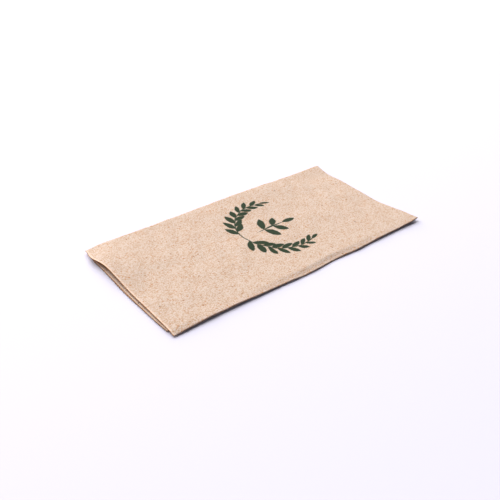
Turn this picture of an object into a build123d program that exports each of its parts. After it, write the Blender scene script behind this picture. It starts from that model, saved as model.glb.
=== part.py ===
from build123d import *
from math import pi
import os

# A paper napkin: one square-cut sheet of soft tissue, folded in eight and lying on its lower half.
# The sheet is folded in this order:
#   fold 1, lengthwise, which brings the two long halves of the sheet together;
#   fold 2, across, at the right-hand short end, which doubles that to four layers;
#   fold 3, the spine, along the far long side, which lays four layers over four.
# It rests on z = 0, with its length along X, its spine towards +Y and the origin under its centre.
# Seen from above, fold 1 is the front edge of the upper half. The sheet's long cut edges are the
# front edge of the lower half, a step behind it, and its short cut edges are all at the left end.

# Driving dimensions, in millimetres.
sheet_length = 330.0     # of the sheet laid out flat, across fold 2
sheet_width = 320.0      # of the sheet laid out flat, across folds 1 and 3
front_step = 5.0         # how far fold 1 reaches past the cut edges under it
sheet_thickness = 0.2    # of the tissue, its plies taken together
layer_gap = 0.2          # air left between two layers that lie on each other

# Radii are those of the sheet's middle surface, so that a fold's length is pi times its radius.
layer_pitch = sheet_thickness + layer_gap
skin = sheet_thickness / 2                   # from the middle surface to either face
fold_1_radius = layer_pitch / 2
fold_2_radii = (0.5 * layer_pitch, 1.5 * layer_pitch)
fold_2_middle = layer_pitch                  # between those two, where fold 1 runs round fold 2
fold_3_middle = 2 * layer_pitch              # from the spine's axis to the middle of four layers

# How far each fold reaches past its own axis.
fold_1_reach = fold_1_radius + skin
fold_2_reach = fold_2_radii[1] + skin
fold_3_reach = fold_3_middle + fold_2_reach

# Flat runs between the folds. Each is what is left of the sheet once its folds are taken off.
long_run = (sheet_length - pi * fold_2_middle) / 2
lower_setback = front_step - fold_1_reach
both_runs = sheet_width / 2 - pi * fold_1_radius / 2 - pi * fold_3_middle
upper_run = (both_runs + lower_setback) / 2
lower_run = upper_run - lower_setback

# The folded napkin's outside size, and from it the places of the three axes.
length = long_run + fold_2_reach
width = fold_1_reach + upper_run + fold_3_reach
height = 2 * fold_3_reach
fold_2_x = length / 2 - fold_2_reach
fold_1_y = fold_1_reach - width / 2
fold_3_y = width / 2 - fold_3_reach
spine_z = height / 2
upper_z = spine_z + fold_3_middle
lower_z = spine_z - fold_3_middle


def hairpin(radius):
    """Section of a sheet that runs in from its cut end, round a half circle and back.

    It is drawn with the half circle's centre at the origin and the two runs towards -X.
    """
    def filled(reach):
        return Pos(-long_run / 2, 0) * Rectangle(long_run, 2 * reach) + Circle(reach)

    return filled(radius + skin) - filled(radius - skin)


def four_layers(z):
    """The two nested hairpins of fold 2, standing at the spine and facing the front."""
    place = Plane(origin=(fold_2_x, fold_3_y, z), x_dir=(1, 0, 0), z_dir=(0, -1, 0))
    return [place * hairpin(radius) for radius in fold_2_radii]


def fold_1_section(z):
    """Half ring that joins two neighbouring layers along the front, on fold 2's axis."""
    ring = Circle(fold_1_reach) - Circle(fold_1_radius - skin)
    front_half = Pos(fold_1_reach / 2, 0) * Rectangle(fold_1_reach, 2 * fold_1_reach)
    place = Plane(origin=(fold_2_x, fold_1_y, z), x_dir=(0, -1, 0), z_dir=(-1, 0, 0))
    return place * (ring & front_half)


def upper_half():
    """Four flat layers from the spine to the front."""
    return [extrude(section, upper_run) for section in four_layers(upper_z)]


def lower_half():
    """The same four layers under them, which stop a step short of the front."""
    return [extrude(section, lower_run) for section in four_layers(lower_z)]


def spine():
    """Fold 3: the four layers carried half a turn round the spine's axis."""
    axis = Axis((0, fold_3_y, spine_z), (-1, 0, 0))
    return [revolve(section, axis, 180) for section in four_layers(upper_z)]


def front_fold():
    """Fold 1: a half tube along the upper two layers, round fold 2, and back along the next two."""
    top = fold_1_section(upper_z + fold_2_middle)
    under = fold_1_section(upper_z - fold_2_middle)
    axis = Axis((fold_2_x, 0, upper_z), (0, 1, 0))
    return [extrude(top, long_run), revolve(top, axis, 180), extrude(under, long_run)]


pieces = upper_half() + spine() + lower_half() + front_fold()
napkin = pieces[0].fuse(*pieces[1:])
napkin.label = "napkin"

os.makedirs("parts", exist_ok=True)
export_step(napkin, "parts/napkin.step")
print(f"folded {length:.2f} x {width:.2f} x {height:.2f} mm, solids {len(napkin.solids())}")
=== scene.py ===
from math import cos, pi, radians, sin

import bpy
import numpy as np
from mathutils import Matrix, Vector


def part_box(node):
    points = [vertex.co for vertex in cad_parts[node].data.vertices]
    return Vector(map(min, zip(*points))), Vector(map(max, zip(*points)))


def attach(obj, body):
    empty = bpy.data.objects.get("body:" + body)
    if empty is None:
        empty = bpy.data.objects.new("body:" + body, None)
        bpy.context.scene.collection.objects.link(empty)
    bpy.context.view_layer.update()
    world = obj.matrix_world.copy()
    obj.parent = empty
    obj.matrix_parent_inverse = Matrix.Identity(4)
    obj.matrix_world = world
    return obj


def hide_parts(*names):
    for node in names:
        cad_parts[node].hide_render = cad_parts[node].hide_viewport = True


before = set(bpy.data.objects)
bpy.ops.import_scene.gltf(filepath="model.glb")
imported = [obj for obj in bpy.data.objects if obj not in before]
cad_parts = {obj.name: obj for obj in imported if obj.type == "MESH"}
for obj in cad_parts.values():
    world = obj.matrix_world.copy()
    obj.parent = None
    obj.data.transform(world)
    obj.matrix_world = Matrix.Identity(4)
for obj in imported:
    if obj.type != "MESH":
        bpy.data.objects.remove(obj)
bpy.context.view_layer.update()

collection = bpy.context.scene.collection


# ---------------------------------------------------------------------------------------------
# Camera. A short telephoto lens looks down on the napkin from its near left corner, about a
# hand's length further off than the napkin is long. The camera leans two degrees to one side.

aim = Vector((-0.0118, -0.0067, 0.0))
camera_distance = 0.3506
camera_azimuth = radians(-40.14)      # 0 looks along +Y
camera_elevation = radians(33.03)
camera_roll = radians(1.96)
focal_length = 48.07                  # millimetres, as is the sensor's width
sensor_width = 36.0

towards_camera = Vector((
    sin(camera_azimuth) * cos(camera_elevation),
    -cos(camera_azimuth) * cos(camera_elevation),
    sin(camera_elevation),
))
lens = bpy.data.cameras.new("lens")
lens.lens = focal_length
lens.sensor_width = sensor_width
lens.clip_start = 0.01
lens.clip_end = 20.0
camera = bpy.data.objects.new("camera", lens)
collection.objects.link(camera)
facing = (-towards_camera).to_track_quat("-Z", "Y").to_matrix().to_4x4()
place = Matrix.Translation(aim + towards_camera * camera_distance)
camera.matrix_world = place @ facing @ Matrix.Rotation(camera_roll, 4, "Z")
bpy.context.scene.camera = camera


# ---------------------------------------------------------------------------------------------
# Studio. A wide white table, a large soft light over its far side and a pale surround that fills
# the shadows with a little blue.

def linear(code):
    """An sRGB hex colour as the linear red, green, blue and alpha that shaders take."""
    srgb = np.array([int(code[i:i + 2], 16) for i in (1, 3, 5)]) / 255
    low = srgb / 12.92
    high = ((srgb + 0.055) / 1.055) ** 2.4
    return (*np.where(srgb <= 0.04045, low, high).tolist(), 1.0)


def add(tree, kind, inputs=(), **settings):
    """Adds a shader node, sets its properties, and gives its inputs numbers or other outputs.

    An input is known by its name or its number. A colour Mix has its two colours at 6 and 7.
    """
    made = tree.nodes.new("ShaderNode" + kind)
    for name, value in settings.items():
        setattr(made, name, value)
    for socket, value in dict(inputs).items():
        if isinstance(value, bpy.types.NodeSocket):
            tree.links.new(value, made.inputs[socket])
        else:
            made.inputs[socket].default_value = value
    return made


table_side = 6.0
table_drop = 0.00002                  # keeps the table's surface clear of the napkin's underside
corners = np.array([(-1, -1), (1, -1), (1, 1), (-1, 1)]) * table_side / 2
table_mesh = bpy.data.meshes.new("table")
table_mesh.from_pydata([(x, y, -table_drop) for x, y in corners.tolist()], [], [(0, 1, 2, 3)])
table = bpy.data.objects.new("table", table_mesh)
collection.objects.link(table)

# Painted board: quite matt and pale grey, which the strong light brings up to white.
board = bpy.data.materials.new("white_board")
board.use_nodes = True
board_shader = board.node_tree.nodes["Principled BSDF"]
board_shader.inputs["Base Color"].default_value = linear("#B9B7C4")
board_shader.inputs["Roughness"].default_value = 0.8
board_shader.inputs["IOR"].default_value = 1.45
board_shader.inputs["Specular IOR Level"].default_value = 0.1
table_mesh.materials.append(board)

softbox_place = Vector((0.1, 1.73, 1.6))
softbox_light = bpy.data.lights.new("softbox", "AREA")
softbox_light.shape = "ELLIPSE"
softbox_light.size = 4.4
softbox_light.size_y = 3.8
softbox_light.energy = 266.0
softbox_light.color = linear("#FFFEFC")[:3]
softbox = bpy.data.objects.new("softbox", softbox_light)
softbox.location = softbox_place
softbox.rotation_euler = (-softbox_place).to_track_quat("-Z", "Y").to_euler()
collection.objects.link(softbox)

surround = bpy.data.worlds.new("surround")
surround.use_nodes = True
surround_shader = surround.node_tree.nodes["Background"]
surround_shader.inputs["Color"].default_value = linear("#F8F4FF")
# Brightest overhead and dim at the horizon, like a light tent over the table.
direction = add(surround.node_tree, "TexCoord").outputs["Generated"]
upward = add(surround.node_tree, "SeparateXYZ", {0: direction}).outputs[2]
sky = add(surround.node_tree, "MapRange", {"Value": upward, "To Min": 0.05, "To Max": 0.34})
surround.node_tree.links.new(sky.outputs[0], surround_shader.inputs["Strength"])
bpy.context.scene.world = surround
bpy.context.scene.view_settings.view_transform = "Standard"


# ---------------------------------------------------------------------------------------------
# Napkin: the sheet. One sheet of two-ply recycled tissue, cut square, then folded lengthwise
# (fold 1, the front edge), across (fold 2, the right end) and lengthwise again (fold 3, the far
# edge). Every layer's place follows from the box that the folded sheet fills.

low, high = (np.array(corner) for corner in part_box("napkin"))
sheet_length = 0.330
sheet_width = 0.320
sheet_thickness = 0.0002
layers = 8
pitch = (high[2] - low[2] - sheet_thickness) / (layers - 1)
skin = sheet_thickness / 2
fold_1_radius = pitch / 2
fold_1_reach = fold_1_radius + skin
fold_2_reach = 1.5 * pitch + skin
fold_3_reach = 3.5 * pitch + skin
long_run = high[0] - low[0] - fold_2_reach
upper_run = high[1] - low[1] - fold_1_reach - fold_3_reach
fold_1_y = low[1] + fold_1_reach
spine_z = (low[2] + high[2]) / 2
half_width = sheet_width / 2
fold_1_start = half_width - pi * fold_1_radius / 2


def fold_over(run, offset, start, radius):
    """Carries a stack flat up to start, then round a half circle, then flat the other way.

    run is the distance gone along the middle of the stack, offset the distance out from that
    middle. A flat point lies radius + offset above the fold's axis. Past start it turns by
    (run - start) / radius, so it is (radius + offset) times the sine of that turn beyond the
    axis and times its cosine above it. What is left after the half turn runs back.
    """
    turn = np.clip((run - start) / radius, 0, pi)
    back = np.maximum(run - start - pi * radius, 0)
    reach = radius + offset
    return np.minimum(run, start) + reach * np.sin(turn) - back, reach * np.cos(turn)


def folded(a, b, side):
    """Place of the sheet's point (a, b), a the distance from its left end and b from fold 1.

    side is the distance out from the sheet's middle. The three folds are made in turn: the
    height that each gives is the offset of the next one.
    """
    along, height = fold_over(half_width - b, side, fold_1_start, fold_1_radius)
    x, height = fold_over(a, height, long_run, pitch)
    y, height = fold_over(fold_1_start - along, height, upper_run, 2 * pitch)
    return low[0] + x, fold_1_y + y, spine_z + height


# ---------------------------------------------------------------------------------------------
# Napkin: how it lies. Soft tissue doesn't keep flat. The top layer lifts at its left end, the
# front edge waves, the corner at the near right stands up, and the layers part or settle to
# follow. These are heights and shifts in millimetres, which are laid over the flat form.

mm = 0.001
snug = 0.215 * mm                     # from one layer to the next where they are pressed together
left, right = low[0], high[0]
front, far = low[1], high[1]


def through(points, at):
    """Smooth curve through (place, height) points in millimetres, taken at places in metres.

    Between two points it is the cubic that has their heights and, at each, the slope of the line
    between that point's neighbours.
    """
    places, heights = np.array(points, float).T * mm
    slopes = np.gradient(heights, places)
    at = np.clip(at, places[0], places[-1])
    i = np.clip(np.searchsorted(places, at) - 1, 0, len(places) - 2)
    gap = places[i + 1] - places[i]
    t = (at - places[i]) / gap
    rise = heights[i + 1] - heights[i]
    bow = (slopes[i] * gap - rise) * (1 - t) - (slopes[i + 1] * gap - rise) * t
    return heights[i] + t * rise + t * (1 - t) * bow


def ease(start, end, at):
    """Goes from 0 at start to 1 at end, level at both, as 3 t squared less 2 t cubed."""
    t = np.clip((at - start) / (end - start), 0, 1)
    return t * t * (3 - 2 * t)


# Heights of the top face along each edge, as (place, height). The places run from left to right
# or from front to far, with 0 at the edge's middle.
front_heights = [
    (-82.5, 1.1), (-78, 1.35), (-70, 1.6), (-58, 1.75), (-45, 1.7), (-33, 1.5), (-16, 1.15),
    (-4, 0.95), (8, 0.9), (16, 0.95), (26, 1.05), (34, 1.15), (44, 1.3), (58, 1.55),
    (70, 1.8), (77, 2.05), (82.5, 2.5)]
far_heights = [
    (-82.5, 1.3), (-74, 2.5), (-62, 2.75), (-41, 2.9), (-16, 3.2), (16, 3.7), (41, 3.6),
    (62, 3.15), (74, 3.3), (82.5, 3.4)]
left_heights = [
    (-41.3, 1.15), (-38.5, 1.45), (-35, 1.6), (-26, 1.75), (-20, 1.85), (-14, 2.0), (-8, 2.0),
    (2, 2.35), (8, 3.1), (12, 3.35), (17, 3.6), (23, 3.65), (27, 3.4), (29.5, 3.05),
    (32, 2.6), (35, 2.05), (38, 1.6), (41.3, 1.3)]
right_heights = [
    (-41.3, 2.5), (-38, 2.45), (-33, 2.4), (-24, 2.3), (-14, 2.15), (-5, 2.3), (7, 2.6),
    (20, 2.7), (30, 2.6), (41.3, 3.4)]
middle_height = 2.3 * mm
# How far in from an edge its height is still felt.
left_hold, right_hold, front_hold, far_hold = 18 * mm, 22 * mm, 26 * mm, 20 * mm
# Slight cockling of the whole face: wavelength, direction in degrees, phase in turns.
cockles = [(23, 12, 0.1), (17, 71, 0.45), (13, -38, 0.8), (31, 100, 0.3), (11, 155, 0.6)]
cockle_height = 0.05 * mm
# The left cut edge of the top face curls up in a narrow lip, which fades out towards the front.
lip_height, lip_width = 0.3 * mm, 0.8 * mm
lip_start, lip_full = front + 2 * mm, front + 9 * mm
# The upper half bends down over the cut edges of the lower half, which shows at the left end.
ridge_height, ridge_width = 0.12 * mm, 0.9 * mm
ridge_y = front + 3.4 * mm
ridge_hold = 14 * mm


def top_height(x, y):
    """Height of the napkin's top face.

    Each edge's height, less the middle's, fades inwards as a bell curve. Where two edges meet,
    what they share at their corner is taken off once, so that each edge keeps its own heights.
    """
    edges = {
        "left": (np.exp(-((x - left) / left_hold) ** 2), through(left_heights, y)),
        "right": (np.exp(-((right - x) / right_hold) ** 2), through(right_heights, y)),
        "front": (np.exp(-((y - front) / front_hold) ** 2), through(front_heights, x)),
        "far": (np.exp(-((far - y) / far_hold) ** 2), through(far_heights, x)),
    }
    height = middle_height + sum(hold * (edge - middle_height) for hold, edge in edges.values())
    for end in ("left", "right"):
        for long_side in ("front", "far"):
            at = {"left": left, "right": right}[end]
            row = {"front": front_heights, "far": far_heights}[long_side]
            shared = through(row, at) - middle_height
            height = height - edges[end][0] * edges[long_side][0] * shared
    for length, degrees, phase in cockles:
        heading = radians(degrees)
        across = (x * cos(heading) + y * sin(heading)) / (length * mm)
        height = height + cockle_height * np.cos(2 * pi * (across + phase))
    lip = lip_height * np.exp(-(x - left) / lip_width) * ease(lip_start, lip_full, y)
    ridge = np.exp(-((y - ridge_y) / ridge_width) ** 2) * np.exp(-((x - left) / ridge_hold) ** 2)
    return height + lip + ridge_height * ridge


# Of what the top face stands above a tightly pressed stack, the share that each gap takes, top
# gap first. At the left end the top layer lifts off alone, at the right end the upper half lifts
# off the lower, and in between all the layers share it.
even_shares = np.full(layers - 1, 1 / (layers - 1))
left_shares = np.array([0.78, 0.04, 0.03, 0.06, 0.03, 0.03, 0.03])
right_shares = np.array([0.03, 0.03, 0.03, 0.82, 0.03, 0.03, 0.03])
left_share_hold, right_share_hold = 24 * mm, 20 * mm
# Between these places the top face climbs onto the lower half, which starts behind the front.
climb_start, climb_end = front + 0.5 * mm, front + 4.2 * mm
bottoming = 0.05 * mm                 # how gently the stack comes up against being pressed flat


def layer_heights(x, y):
    """Heights of the middles of the eight layers, top layer first, as an 8-row array.

    The upper four hang down from the top face and the lower four stand up from the table, each
    by the pressed distance and its share of the spare height. The spare height is bottoming
    times log(1 + exp(height over the pressed stack / bottoming)), so it is never negative, and
    over the lower half the top is never lower than all eight layers pressed together.
    """
    top = top_height(x, y) - skin
    pressed = (layers - 1) * snug + skin
    spare = np.logaddexp(0, (top - pressed) / bottoming) * bottoming
    top = top + ease(climb_start, climb_end, y) * (pressed + spare - top)
    shares = even_shares[:, None]
    at_left = np.exp(-((x - left) / left_share_hold) ** 2)
    shares = shares + at_left * (left_shares - even_shares)[:, None]
    at_right = np.exp(-((right - x) / right_share_hold) ** 2)
    shares = shares + at_right * (right_shares - even_shares)[:, None]
    gaps = snug + shares * spare
    from_top = np.cumsum(np.concatenate([np.zeros((1, len(x))), gaps[:3]]), axis=0)
    from_table = np.cumsum(gaps[:3:-1], axis=0)[::-1]
    upper = np.maximum(top - from_top, skin + snug * np.arange(3, -1, -1)[:, None])
    lower = skin + np.concatenate([from_table, np.zeros((1, len(x)))])
    return np.concatenate([upper, lower])


# Sideways shifts of the edges, as (place, shift). A shift along X is positive to the right and
# one along Y is positive to the far side. The upper and the lower half shift apart.
front_shifts = [
    (-82.5, 0.1), (-76, 0.35), (-70, 0.6), (-58, 0.85), (-45, 0.85), (-33, 0.5), (-16, 0.25),
    (-4, -0.2), (8, 0.3), (16, 0.95), (26, 0.75), (34, 0.4), (44, 0.85), (58, 1.15),
    (70, 1.25), (77, 1.3), (82.5, 1.6)]
far_shifts = [
    (-82.5, 0.6), (-75, 1.0), (-66, 0.8), (-50, 0.55), (-16, 0.75), (16, 0.75), (50, 0.65),
    (82.5, 0.6)]
right_shifts = [
    (-41.4, 2.1), (-39, 1.6), (-33, 1.15), (-24, -0.6), (-14, -1.7), (-5, -1.8), (7, -1.6),
    (20, -1.1), (30, -1.3), (36, -0.5), (41.4, 0.8)]
lower_right_shifts = [(-41.4, -5.0), (-34, -3.4), (-22, -1.5), (0, -0.9), (41.4, -0.9)]
lower_tip_set_back = 4.5 * mm         # of the lower half at the near right, along Y
# At the left end the top layer, the three under it and the lower half end in different places,
# and each layer's cut end strays a little from the rest and from straight.
top_left_shifts = [
    (-41.4, -0.2), (-36, -0.1), (-28, 0.03), (-20, 0.26), (-8, 0.26), (0, 0.36), (8, 0.36),
    (12, 0.38), (17, 0.4), (23, 0.1), (27, -0.55), (31, -1.0), (35, -0.4), (38, 0.4),
    (41.4, 0.55)]
inner_left_shifts = [
    (-41.4, 1.2), (-36, 2.6), (-20, 3.0), (0, 2.9), (8, 2.5), (14, 2.0), (24, 1.6),
    (31, 1.3), (41.4, 2.2)]
lower_left_shifts = [
    (-41.4, 0.6), (-36, 0.0), (-29, -0.3), (-20, -0.5), (-8, -0.6), (2, -0.4),
    (10, -0.05), (16, 0.15), (24, 0.45), (31, 0.5), (36, 1.2), (41.4, 2.2)]
stagger = np.array([0.0, 0.15, 0.0, -0.1, -0.35, -0.35, -0.1, 0.0]) * mm
cut_wander = 0.12 * mm
cut_wave = 9 * mm
# Where each edge's shifts start to be felt, going out towards that edge.
left_from, right_from = left + 30 * mm, 48 * mm
front_from, far_from = front + 36 * mm, far - 36 * mm
tip_from = 58 * mm


def settled(x, y, z):
    """Lays the flat form down as soft tissue.

    A point's height tells which layer it is in, or which two it is between where a fold joins
    them. It keeps its distance from its own layer's middle, and between layers it is placed in
    proportion. The ends then shift along X and the long sides along Y, fading to nothing away
    from them. depth counts layers down from the top one, which is 0, to the bottom one, 7.
    """
    depth = (spine_z + 3.5 * pitch - z) / pitch
    layer = np.clip(np.rint(depth).astype(int), 0, layers - 1)
    heights = layer_heights(x, y)
    columns = np.arange(len(x))
    own = heights[layer, columns]
    offset = (layer - depth) * pitch
    other = heights[np.clip(layer - np.sign(offset).astype(int), 0, layers - 1), columns]
    room = np.abs(other - own) - sheet_thickness
    past_skin = np.maximum(np.abs(offset) - skin, 0) / (pitch - sheet_thickness)
    moved = np.where(past_skin > 0, skin + past_skin * room, np.abs(offset))
    height = own + np.sign(offset) * moved
    upper = ease(4.2, 2.8, depth)
    at_right = upper * through(right_shifts, y) + (1 - upper) * through(lower_right_shifts, y)
    shift = ease(right_from, right, x) * at_right
    lower_half = ease(3.25, 3.75, depth)
    end = through(inner_left_shifts, y) * (1 - lower_half) + through(lower_left_shifts, y) * lower_half
    end = end + ease(0.75, 0.25, depth) * (through(top_left_shifts, y) - end)
    wander = stagger[layer] + cut_wander * np.sin(y / cut_wave + 2.1 * layer)
    shift = shift + ease(left_from, left, x) * (end + wander)
    at_tip = ease(tip_from, right, x) * lower_tip_set_back
    set_back = upper * through(front_shifts, x) + (1 - upper) * at_tip
    set_back = ease(front_from, front, y) * set_back
    set_out = ease(far_from, far, y) * through(far_shifts, x)
    return x + shift, y + set_back + set_out, height


# ---------------------------------------------------------------------------------------------
# Napkin: the mesh. Both faces of the sheet are grids over (a, b), closer together where it bends
# and on the top face, and its four cut edges join them. The UV map is the flat sheet, seen from
# its outer face, with the inner face laid out beside it, so that print stays on one face.

def steps(*stretches):
    """Grid lines for stretches of (start, end, spacing), which follow on from each other."""
    lines = [np.linspace(s, e, max(2, round((e - s) / gap) + 1))[:-1] for s, e, gap in stretches]
    return np.append(np.concatenate(lines), stretches[-1][1])


def fold_lines(middle, radius, segments):
    """Start, end and spacing of the grid lines round a half circle about middle."""
    arc = pi * radius
    return middle - arc / 2, middle + arc / 2, arc / segments


fold_2 = fold_lines(sheet_length / 2, pitch, 12)
fold_1 = fold_lines(0, fold_1_radius, 10)
spine_start = pi * fold_1_radius / 2 + upper_run
spine_end = spine_start + pi * 2 * pitch
front_band = 8.5 * mm                 # of the top face, where the lower half's edges show through
a_lines = steps(
    (0, fold_2[0], 1.3 * mm), fold_2, (fold_2[1], sheet_length, 3.2 * mm))
b_lines = steps(
    (-half_width, -spine_end, 3.4 * mm), (-spine_end, -spine_start, pi * 2 * pitch / 12),
    (-spine_start, fold_1[0], 3.0 * mm), fold_1, (fold_1[1], front_band, 0.5 * mm),
    (front_band, spine_start, 1.3 * mm), (spine_start, spine_end, pi * 2 * pitch / 16),
    (spine_end, half_width, 3.0 * mm))
rows, columns = len(a_lines), len(b_lines)
a_grid, b_grid = (grid.ravel() for grid in np.meshgrid(a_lines, b_lines, indexing="ij"))
outer = np.stack(settled(*folded(a_grid, b_grid, skin)), axis=1)
inner = np.stack(settled(*folded(a_grid, b_grid, -skin)), axis=1)
count = rows * columns
index = np.arange(count).reshape(rows, columns)
cell = np.stack([index[:-1, :-1], index[1:, :-1], index[1:, 1:], index[:-1, 1:]], axis=-1)
cell = cell.reshape(-1, 4)
border = np.concatenate([index[:, 0], index[-1, 1:], index[-2::-1, -1], index[0, -2:0:-1]])
ahead = np.roll(border, -1)
rim = np.stack([border, border + count, ahead + count, ahead], axis=1)
faces = np.concatenate([cell, cell[:, ::-1] + count, rim])

napkin_mesh = bpy.data.meshes.new("napkin_sheet")
napkin_mesh.from_pydata(np.concatenate([outer, inner]).tolist(), [], faces.tolist())
flat = np.stack([a_grid / sheet_length, b_grid / sheet_width + 0.5], axis=1)
beside = np.stack([2 - flat[:, 0], flat[:, 1]], axis=1)
charts = [flat[cell], beside[cell[:, ::-1]], flat[rim % count]]
unfolded = napkin_mesh.uv_layers.new(name="flat_sheet")
unfolded.data.foreach_set("uv", np.concatenate(charts).astype(np.float32).ravel())
napkin_mesh.shade_smooth()
napkin_mesh.set_sharp_from_angle(angle=radians(50))
napkin_sheet = bpy.data.objects.new("napkin_sheet", napkin_mesh)
collection.objects.link(napkin_sheet)


# ---------------------------------------------------------------------------------------------
# Napkin: the tissue and its print. Unbleached two-ply tissue of recycled fibre, creped as it
# leaves the drying drum: quite matt, cloudy where the fibres lie thick or thin, with a few dark and
# rusty flecks of old paper. One soft dark green ink is printed on the top face only.

tissue = bpy.data.materials.new("recycled_tissue")
tissue.use_nodes = True
tree = tissue.node_tree
shader = tree.nodes["Principled BSDF"]
uv = add(tree, "UVMap", uv_map="flat_sheet").outputs[0]
sheet_mm = (sheet_length / mm, sheet_width / mm, 1)
on_sheet = add(tree, "VectorMath", {0: uv, 1: sheet_mm}, operation="MULTIPLY").outputs[0]


def spread(size, detail, rough, at, **more):
    """Fractal noise whose largest blots are size millimetres across, from about 0 to 1."""
    inputs = {"Vector": at, "Scale": 1 / size, "Detail": detail, "Roughness": rough, **more}
    return add(tree, "TexNoise", inputs).outputs["Fac"]


clouds = spread(7.0, 2, 0.5, on_sheet)
blots = spread(2.0, 3, 0.85, on_sheet)
grain = spread(0.7, 2, 0.8, on_sheet)
# Pale where fibres are thin, and browner where they lie thick.
thick_a = add(tree, "Math", {0: clouds, 1: 0.3, 2: -0.15}, operation="MULTIPLY_ADD").outputs[0]
thick_b = add(tree, "Math", {0: blots, 1: 0.9, 2: thick_a}, operation="MULTIPLY_ADD").outputs[0]
thick_c = add(tree, "Math", {0: grain, 1: 2.4, 2: -1.25}, operation="MULTIPLY_ADD").outputs[0]
thickness = add(tree, "Math", {0: thick_b, 1: thick_c}, operation="ADD").outputs[0]
fibre_ramp = add(tree, "ValToRGB", {0: thickness})
fibre_ramp.color_ramp.elements[0].position = 0.25
fibre_ramp.color_ramp.elements[0].color = linear("#CFC1B5")
fibre_ramp.color_ramp.elements[1].position = 0.75
fibre_ramp.color_ramp.elements[1].color = linear("#B48F6B")
colour = fibre_ramp.outputs[0]
# Painted shade and highlight, both going by the distance from the nearer of the sheet's two short
# cut edges. The cut edge and its last few tenths of a millimetre are painted browner, for the shade
# under the rim and the light glowing through the sheet's end. A pale band just inside that is a
# painted highlight, for the light that the rim catches.
along = add(tree, "SeparateXYZ", {0: on_sheet}).outputs[0]
from_cut = add(tree, "Math", {0: along, 1: sheet_length / 2 / mm}, operation="PINGPONG").outputs[0]
# Painted highlight: a pale band about a millimetre inside the cut edge.
painted_rim_highlight = add(
    tree, "MapRange",
    {"Value": from_cut, "From Min": 1.3, "From Max": 0.5, "To Min": 0.0, "To Max": 0.8})
colour = add(
    tree, "Mix", {0: painted_rim_highlight.outputs[0], 6: colour, 7: linear("#E2CFBC")},
    data_type="RGBA").outputs[2]
# Painted shade and glow: the cut edge itself and the sheet's last fraction of a millimetre browner.
painted_cut_shade = add(
    tree, "MapRange",
    {"Value": from_cut, "From Min": 0.35, "From Max": 0.1, "To Min": 0.0, "To Max": 1.0})
colour = add(
    tree, "Mix", {0: painted_cut_shade.outputs[0], 6: colour, 7: linear("#A67A4E")},
    data_type="RGBA").outputs[2]


def flecks(colour_below, fleck_colour, apart, size, share, offset):
    """Strews irregular flecks over the sheet, size across and about apart from each other.

    The sheet is shared into cells. Where a cell's random number is under share, the points
    within half of size of the cell's centre, or less at random, take the fleck's colour. offset
    moves the cells, so that no two kinds of fleck share them.
    """
    moved = add(tree, "VectorMath", {0: bent, 1: (offset, offset / 3, 0)}, operation="ADD").outputs[0]
    cells = add(tree, "TexVoronoi", {"Vector": moved, "Scale": 1 / apart}, voronoi_dimensions="2D")
    chance = add(tree, "SeparateColor", {0: cells.outputs["Color"]})
    half_size = size / 2 / apart
    reach = add(tree, "Math", {0: chance.outputs[2], 1: half_size}, operation="MULTIPLY").outputs[0]
    near = add(tree, "Math", {0: cells.outputs["Distance"], 1: reach}, operation="LESS_THAN")
    chosen = add(tree, "Math", {0: chance.outputs[0], 1: share}, operation="LESS_THAN")
    mask = add(tree, "Math", {0: near.outputs[0], 1: chosen.outputs[0]}, operation="MULTIPLY").outputs[0]
    weight = add(tree, "Math", {0: mask, 1: chance.outputs[1]}, operation="MULTIPLY").outputs[0]
    mixed = add(tree, "Mix", {0: weight, 6: colour_below, 7: linear(fleck_colour)}, data_type="RGBA")
    return mixed.outputs[2]


# The flecks' outlines are made ragged by moving each point up to half a millimetre either way.
ragged = add(tree, "TexNoise", {"Vector": on_sheet, "Scale": 1 / 0.7, "Detail": 1.0}).outputs["Color"]
bent = add(
    tree, "VectorMath", {0: ragged, 1: (0.9, 0.9, 0.9), 2: on_sheet},
    operation="MULTIPLY_ADD").outputs[0]
colour = flecks(colour, "#B5855A", 1.3, 0.95, 0.6, 5)
colour = flecks(colour, "#9E7045", 4.0, 1.0, 0.5, 19)
colour = flecks(colour, "#855536", 9.0, 0.9, 0.4, 31)
colour = flecks(colour, "#645041", 13.0, 0.9, 0.4, 77)

# The print: a plain laurel of small leaves round a seedling, about 55 by 42 mm. Its own axes are
# `across`, from its middle towards the front, and `up`, towards the right end. It is even on
# both sides of `up`, so one side is drawn, at the distance from `up`. The wobble moves each line
# by up to wobble_size, and by half of it on the average.
print_x, print_y = 5.0, 2.0
wobble_size = 2.2
print_a = print_x - left / mm
print_b = print_y + (half_width - fold_1_y + pi * fold_1_radius / 2) / mm
wobble = add(tree, "TexNoise", {"Vector": on_sheet, "Scale": 1 / 9, "Detail": 1.0}).outputs["Color"]
drawn_at = add(
    tree, "VectorMath", {0: wobble, 1: (wobble_size, wobble_size, 0), 2: on_sheet},
    operation="MULTIPLY_ADD").outputs[0]
from_middle = add(
    tree, "VectorMath",
    {0: drawn_at, 1: (print_a + wobble_size / 2, print_b + wobble_size / 2, 0)},
    operation="SUBTRACT").outputs[0]
split = add(tree, "SeparateXYZ", {0: from_middle})
one_side = add(tree, "Math", {0: split.outputs[1]}, operation="ABSOLUTE").outputs[0]
pen = add(tree, "CombineXYZ", {0: one_side, 1: split.outputs[0]}).outputs[0]


def disc(x, y, radius):
    """Distance outside a disc, which is negative within it."""
    gone = add(tree, "VectorMath", {0: pen, 1: (x, y, 0)}, operation="DISTANCE").outputs["Value"]
    return add(tree, "Math", {0: gone, 1: radius}, operation="SUBTRACT").outputs[0]


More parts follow.
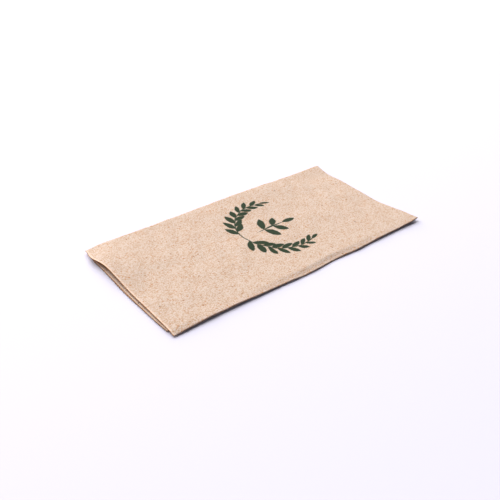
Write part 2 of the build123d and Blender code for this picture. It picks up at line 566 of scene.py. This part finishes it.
def leaf(x, y, heading, length, width):
    """Distance outside a leaf: the part that two discs share, with its stalk end at (x, y)."""
    radius = (length ** 2 + width ** 2) / (4 * width)
    side = radius - width / 2
    middle_x = x + cos(heading) * length / 2
    middle_y = y + sin(heading) * length / 2
    over = disc(middle_x - sin(heading) * side, middle_y + cos(heading) * side, radius)
    under = disc(middle_x + sin(heading) * side, middle_y - cos(heading) * side, radius)
    return add(tree, "Math", {0: over, 1: under}, operation="MAXIMUM").outputs[0]


def stroke(x, y, radius, width, end_x, end_y, reach):
    """Distance outside a ring of that width, kept to a disc of reach about its end point."""
    gone = add(tree, "Math", {0: disc(x, y, radius)}, operation="ABSOLUTE").outputs[0]
    ring = add(tree, "Math", {0: gone, 1: width / 2}, operation="SUBTRACT").outputs[0]
    return add(tree, "Math", {0: ring, 1: disc(end_x, end_y, reach)}, operation="MAXIMUM").outputs[0]


wreath_radius = 23.0
wreath_y = 9.0
first_leaf, leaf_step = -80, 13.5     # degrees round the wreath
pairs = 7
shapes = []
for pair in range(pairs):
    turn = radians(first_leaf + pair * leaf_step)
    length = 9.6 - 0.45 * pair
    x = wreath_radius * cos(turn)
    y = wreath_y + wreath_radius * sin(turn)
    shapes.append(leaf(x, y, turn + radians(56), length, length * 0.40))
    turn = turn + radians(6)
    x = wreath_radius * cos(turn)
    y = wreath_y + wreath_radius * sin(turn)
    shapes.append(leaf(x, y, turn + radians(126), length * 0.92, length * 0.37))
tip = radians(first_leaf + pairs * leaf_step)
tip_x = wreath_radius * cos(tip)
tip_y = wreath_y + wreath_radius * sin(tip)
shapes.append(leaf(tip_x, tip_y, tip + radians(92), 7.0, 2.2))
shapes.append(stroke(0, wreath_y, wreath_radius, 0.8, 17, -4, 20.5))
# The seedling: an upright stem with two pairs of leaves and one at its head.
shapes.append(leaf(0, -5, radians(90), 21, 1.3))
shapes.append(leaf(0.2, 0.0, radians(26), 11.0, 4.6))
shapes.append(leaf(0.2, 6.0, radians(40), 9.5, 3.9))
shapes.append(leaf(0, 13, radians(90), 9.0, 3.8))
outline = shapes[0]
for shape in shapes[1:]:
    outline = add(tree, "Math", {0: outline, 1: shape}, operation="MINIMUM").outputs[0]

# Ink on soft tissue: the edge is ragged and the colour thins where the fibres stand up.
fray = spread(0.8, 3, 0.8, on_sheet)
frayed = add(tree, "Math", {0: fray, 1: 0.9, 2: -0.45}, operation="MULTIPLY_ADD").outputs[0]
edge = add(tree, "Math", {0: outline, 1: frayed}, operation="ADD").outputs[0]
inked = add(
    tree, "MapRange", {"Value": edge, "From Min": 0.12, "From Max": -0.22, "To Min": 0.0, "To Max": 1.0})
cover = add(
    tree, "MapRange",
    {"Value": grain, "From Min": 0.25, "From Max": 0.75, "To Min": 0.995, "To Max": 0.97})
ink = add(tree, "Math", {0: inked.outputs[0], 1: cover.outputs[0]}, operation="MULTIPLY").outputs[0]
printed = add(tree, "Mix", {0: ink, 6: colour, 7: linear("#1A301A")}, data_type="RGBA")
tree.links.new(printed.outputs[2], shader.inputs["Base Color"])

# Felt-like surface: fibres a third of a millimetre apart over creping that is hardly felt.
nap = spread(0.35, 3, 0.7, on_sheet)
stretched = add(tree, "VectorMath", {0: on_sheet, 1: (1.4, 0.16, 1)}, operation="MULTIPLY").outputs[0]
creping = spread(1.0, 2, 0.5, stretched)
relief = add(tree, "Math", {0: creping, 1: 0.6, 2: nap}, operation="MULTIPLY_ADD").outputs[0]
relief_all = add(tree, "Math", {0: blots, 1: 0.8, 2: relief}, operation="MULTIPLY_ADD").outputs[0]
bump = add(tree, "Bump", {"Strength": 0.5, "Distance": 0.08 * mm, "Height": relief_all})
tree.links.new(bump.outputs[0], shader.inputs["Normal"])
shader.inputs["Roughness"].default_value = 0.95
shader.inputs["IOR"].default_value = 1.47
shader.inputs["Specular IOR Level"].default_value = 0.15
shader.inputs["Sheen Weight"].default_value = 0.06
shader.inputs["Sheen Roughness"].default_value = 0.6
# Some of the light passes through so thin a sheet, and warms the layer below it.
browner = add(
    tree, "Mix", {0: 1.0, 6: printed.outputs[2], 7: linear("#FFBC7C")},
    data_type="RGBA", blend_type="MULTIPLY")
through_light = add(tree, "BsdfTranslucent", {"Color": browner.outputs[2], "Normal": bump.outputs[0]})
passed_on = 0.34
both = add(tree, "MixShader", {0: passed_on, 1: shader.outputs[0], 2: through_light.outputs[0]})
tree.links.new(both.outputs[0], tree.nodes["Material Output"].inputs["Surface"])
napkin_mesh.materials.append(tissue)

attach(napkin_sheet, "root")
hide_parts("napkin")
